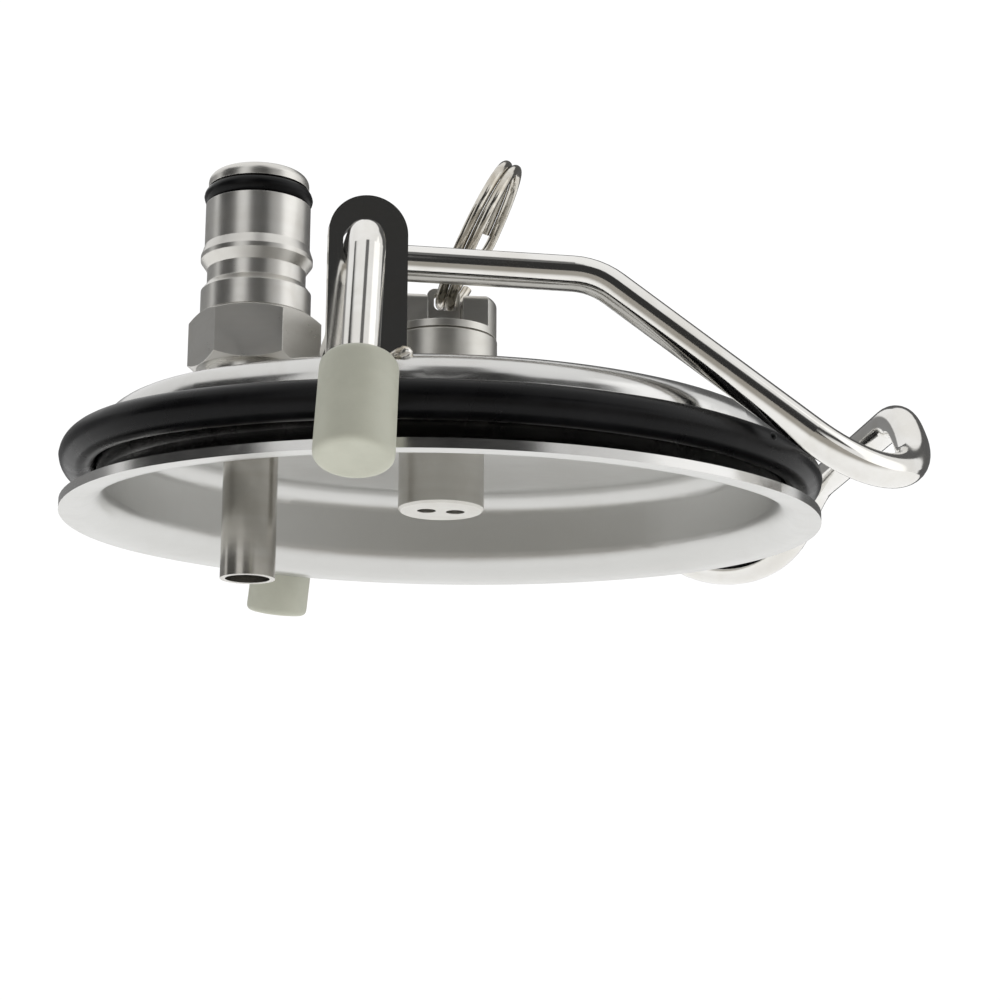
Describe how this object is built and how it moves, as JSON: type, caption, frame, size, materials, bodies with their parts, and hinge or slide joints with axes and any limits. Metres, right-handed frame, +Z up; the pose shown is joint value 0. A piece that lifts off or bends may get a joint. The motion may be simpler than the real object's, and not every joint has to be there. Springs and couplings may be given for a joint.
{
  "type": "keg lid",
  "caption": "Oval stainless keg lid with rubber gasket, pivoting wire bail on two ears, ring-pull relief valve and a gas post with a short dip tube.",
  "frame": {"origin": "centre of the oval flange's underside", "axes": "+Z up out of the keg, +X along the oval's long axis towards the bail's grip, +Y across the lid"},
  "size_m": [0.1225, 0.1196, 0.0655],
  "materials": {
    "satin_steel": "satin",
    "polished_steel": "polished",
    "turned_steel": "turned",
    "spring_steel": "drawn",
    "rubber": "matte",
    "foot_plastic": "matte"
  },
  "bodies": {
    "lid": {"lid_shell": "satin_steel", "lid_gasket": "rubber", "front_ear": "polished_steel", "rear_ear": "polished_steel", "relief_housing": "turned_steel", "relief_head": "turned_steel", "relief_spring": "spring_steel", "post_stub": "turned_steel", "post_body": "turned_steel", "post_o_ring": "rubber", "dip_tube": "satin_steel", "dip_tube_o_ring": "rubber", "poppet_cage": "spring_steel", "poppet_spring": "spring_steel"},
    "bail": {"bail_wire": "polished_steel", "front_foot": "foot_plastic", "rear_foot": "foot_plastic"},
    "relief_poppet": {"relief_stem": "turned_steel", "relief_disc": "turned_steel", "relief_seal": "rubber"},
    "ring": {"pull_ring": "polished_steel"},
    "gas_poppet": {"poppet_stem": "turned_steel", "poppet_seal": "rubber"}
  },
  "joints": [
    {"name": "bail_swing", "type": "hinge", "parent": "lid", "child": "bail", "pos_m": [-0.01745, 0, 0.0287], "axis": [0, -1, 0], "range_deg": [0, 200]},
    {"name": "relief_lift", "type": "slide", "parent": "lid", "child": "relief_poppet", "axis": [0, 0, 1], "range_m": [0, 0.0022], "stiffness_N_per_m": 200, "springref_m": -0.004, "deforming": ["relief_spring"]},
    {"name": "ring_tilt", "type": "hinge", "parent": "relief_poppet", "child": "ring", "pos_m": [-0.0002, -0.00004, 0.0343], "axis": [0.1323, 0.9912, 0], "range_deg": [-42, 5]},
    {"name": "poppet_press", "type": "slide", "parent": "lid", "child": "gas_poppet", "axis": [0, 0, -1], "range_m": [0, 0.0022], "stiffness_N_per_m": 200, "springref_m": -0.004, "deforming": ["poppet_spring"]}
  ]
}
